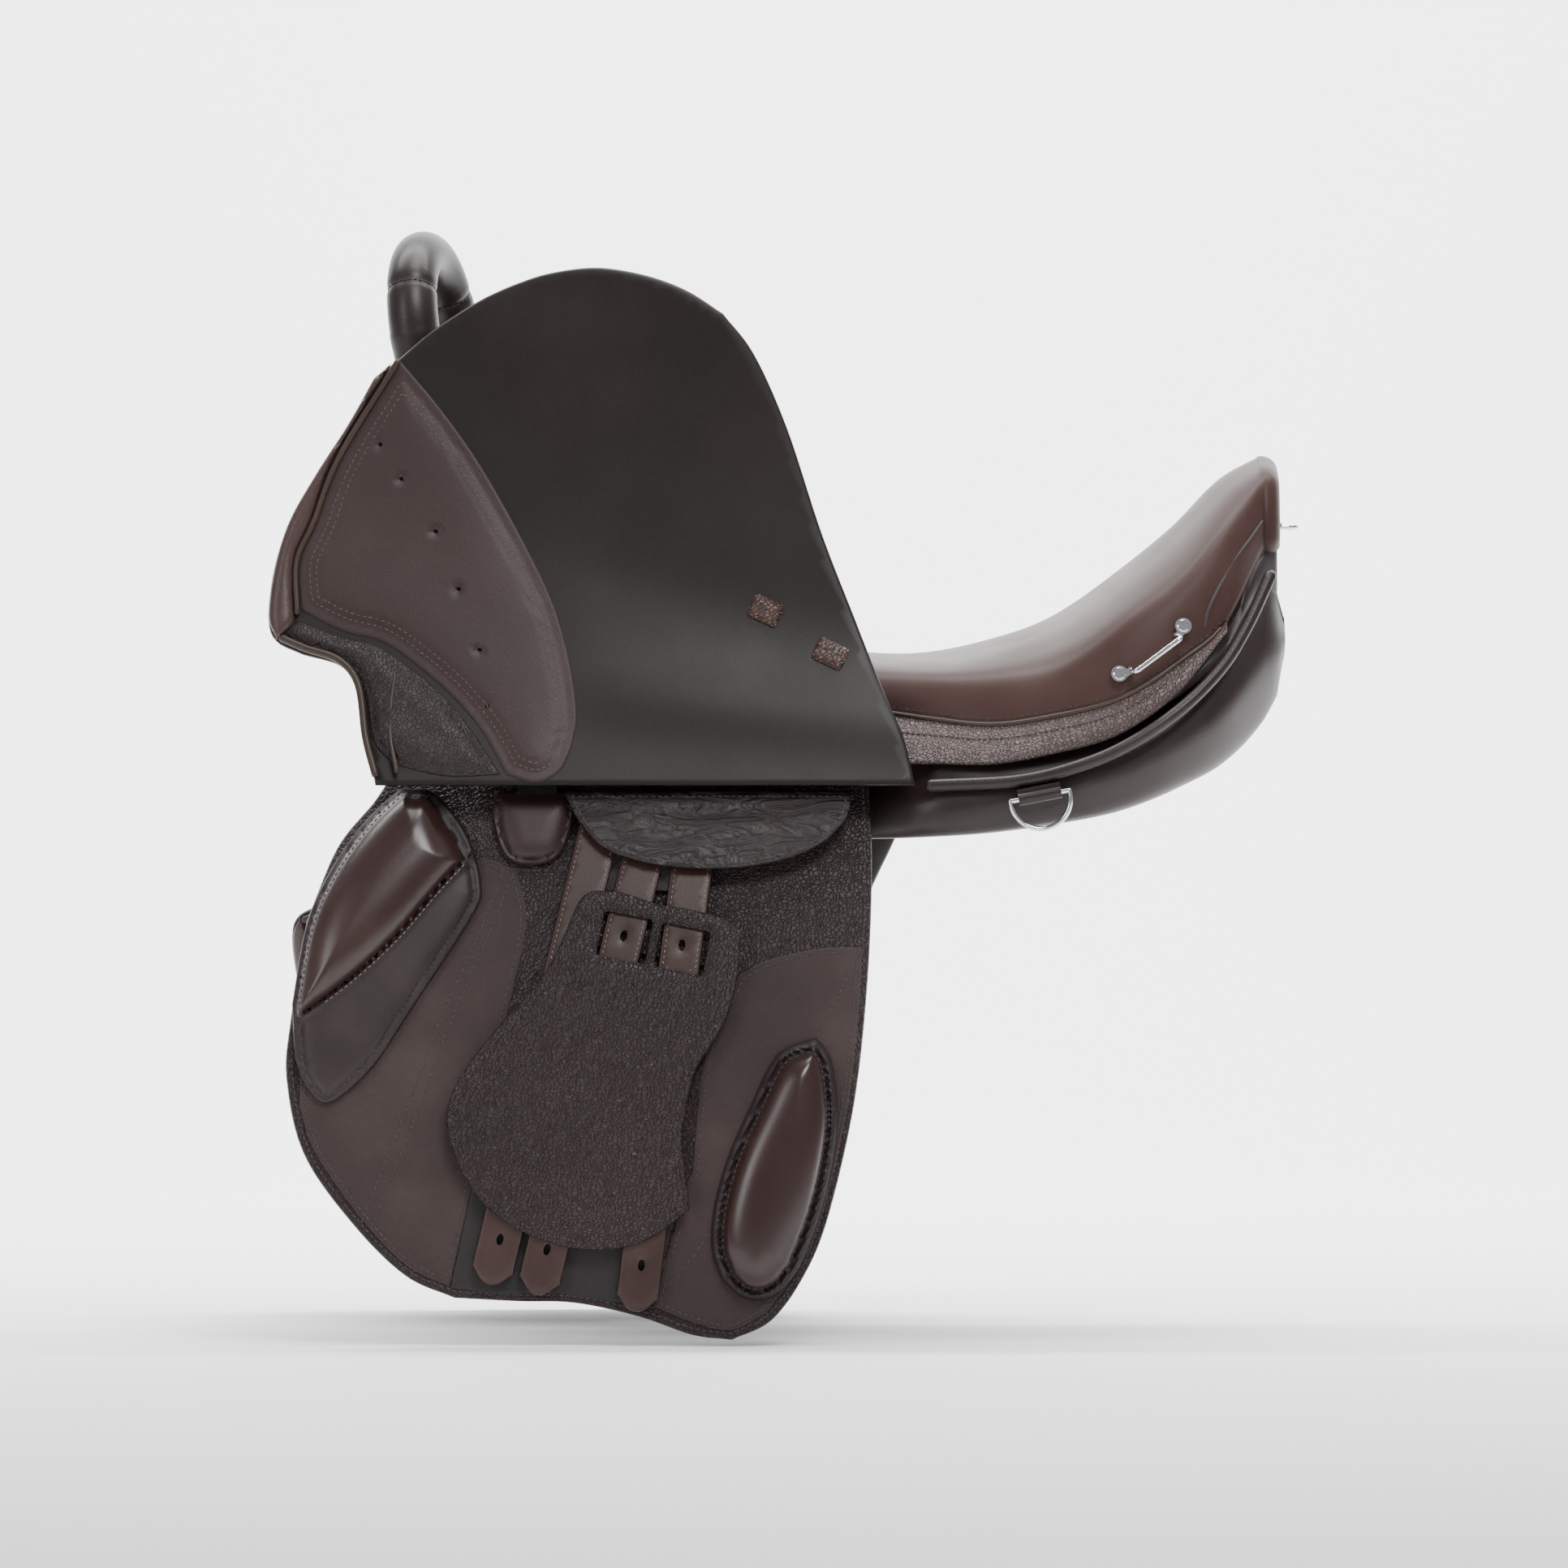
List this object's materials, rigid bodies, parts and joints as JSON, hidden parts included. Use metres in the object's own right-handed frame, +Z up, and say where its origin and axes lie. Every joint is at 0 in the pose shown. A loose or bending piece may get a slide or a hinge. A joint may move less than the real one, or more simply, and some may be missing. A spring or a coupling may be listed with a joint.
{
  "type": "english saddle",
  "caption": "English saddle in dark brown leather with a pommel grab handle, its near flap lifted over the billets, buckle guard and padded blocks",
  "frame": {"origin": "on the centre plane, level with the fold of the flaps, where the panels bear on the horse's back", "axes": "+Z up, -X toward the horse's head, -Y the near (left) side"},
  "size_m": [0.629, 0.489, 0.6717],
  "materials": {
    "seat_leather": "smooth",
    "flap_leather": "smooth",
    "lining_leather": "smooth",
    "grained_leather": "grained",
    "embossed_leather": "embossed",
    "panel_leather": "smooth",
    "suede": "suede",
    "block_leather": "smooth",
    "billet_leather": "smooth",
    "bright_metal": "polished",
    "steel": "brushed",
    "foam": "open cell foam",
    "tree_plastic": "moulded",
    "webbing": "woven"
  },
  "bodies": {
    "root": {"cantle_back": "seat_leather", "cantle_staple": "bright_metal", "cantle_staple_rivets": "bright_metal", "flap_roots": "flap_leather", "girth_webs": "webbing", "handle_core": "steel", "handle_grip": "seat_leather", "handle_washers": "bright_metal", "head_plate": "steel", "near_apron": "grained_leather", "near_dee_tab": "lining_leather", "near_first_billet": "billet_leather", "near_front_suede_patch": "suede", "near_knee_block": "block_leather", "near_panel": "panel_leather", "near_panel_welt": "panel_leather", "near_point_pocket": "block_leather", "near_rear_suede_patch": "suede", "near_second_billet": "billet_leather", "near_side_bar": "bright_metal", "near_skirt": "embossed_leather", "near_stirrup_bar": "steel", "near_sweat_flap": "grained_leather", "near_thigh_block": "block_leather", "near_third_billet": "billet_leather", "off_apron": "grained_leather", "off_dee_tab": "lining_leather", "off_first_billet": "billet_leather", "off_front_suede_patch": "suede", "off_knee_block": "block_leather", "off_panel": "panel_leather", "off_panel_welt": "panel_leather", "off_point_pocket": "block_leather", "off_rear_suede_patch": "suede", "off_second_billet": "billet_leather", "off_side_bar": "bright_metal", "off_skirt": "embossed_leather", "off_stirrup_bar": "steel", "off_sweat_flap": "grained_leather", "off_thigh_block": "block_leather", "off_third_billet": "billet_leather", "seat_cover": "seat_leather", "seat_foam": "foam", "seat_webbing": "webbing", "side_bar_screws": "bright_metal", "tree_frame": "tree_plastic"},
    "near_flap_body": {"near_flap": "flap_leather", "near_knee_lining": "lining_leather", "near_knee_pad": "lining_leather", "near_flap_keepers": "billet_leather"},
    "near_ring_body": {"near_dee_ring": "bright_metal"},
    "near_catch_body": {"near_bar_catch": "steel"},
    "near_guard_body": {"near_buckle_guard": "embossed_leather"},
    "off_flap_body": {"off_flap": "flap_leather", "off_knee_lining": "lining_leather", "off_knee_pad": "lining_leather", "off_flap_keepers": "billet_leather"},
    "off_ring_body": {"off_dee_ring": "bright_metal"},
    "off_catch_body": {"off_bar_catch": "steel"},
    "off_guard_body": {"off_buckle_guard": "embossed_leather"}
  },
  "joints": [
    {"name": "near_flap_lift", "type": "hinge", "parent": "root", "child": "near_flap_body", "pos_m": [0, -0.15, 0], "axis": [1, 0, 0], "range_deg": [0, 170.8]},
    {"name": "near_ring_swing", "type": "hinge", "parent": "root", "child": "near_ring_body", "pos_m": [0.089, -0.1495, -0.005], "axis": [-0.9816, 0, -0.1908], "range_deg": [0, 110]},
    {"name": "near_catch_hinge", "type": "hinge", "parent": "root", "child": "near_catch_body", "pos_m": [-0.0827, -0.104, 0.023], "axis": [0, -1, 0], "range_deg": [0, 50]},
    {"name": "near_guard_slide", "type": "hinge", "parent": "root", "child": "near_guard_body", "pos_m": [-0.17, 0.605, -0.343], "axis": [0.9848, 0, -0.1736], "range_deg": [-0.5, 0.5]},
    {"name": "off_flap_lift", "type": "hinge", "parent": "root", "child": "off_flap_body", "pos_m": [0, 0.15, 0], "axis": [1, 0, 0], "range_deg": [0, 170.8]},
    {"name": "off_ring_swing", "type": "hinge", "parent": "root", "child": "off_ring_body", "pos_m": [0.089, 0.1495, -0.005], "axis": [0.9816, 0, 0.1908], "range_deg": [0, 110]},
    {"name": "off_catch_hinge", "type": "hinge", "parent": "root", "child": "off_catch_body", "pos_m": [-0.0827, 0.104, 0.023], "axis": [0, -1, 0], "range_deg": [0, 50]},
    {"name": "off_guard_slide", "type": "hinge", "parent": "root", "child": "off_guard_body", "pos_m": [-0.17, -0.605, -0.343], "axis": [-0.9848, 0, 0.1736], "range_deg": [-0.5, 0.5]}
  ]
}
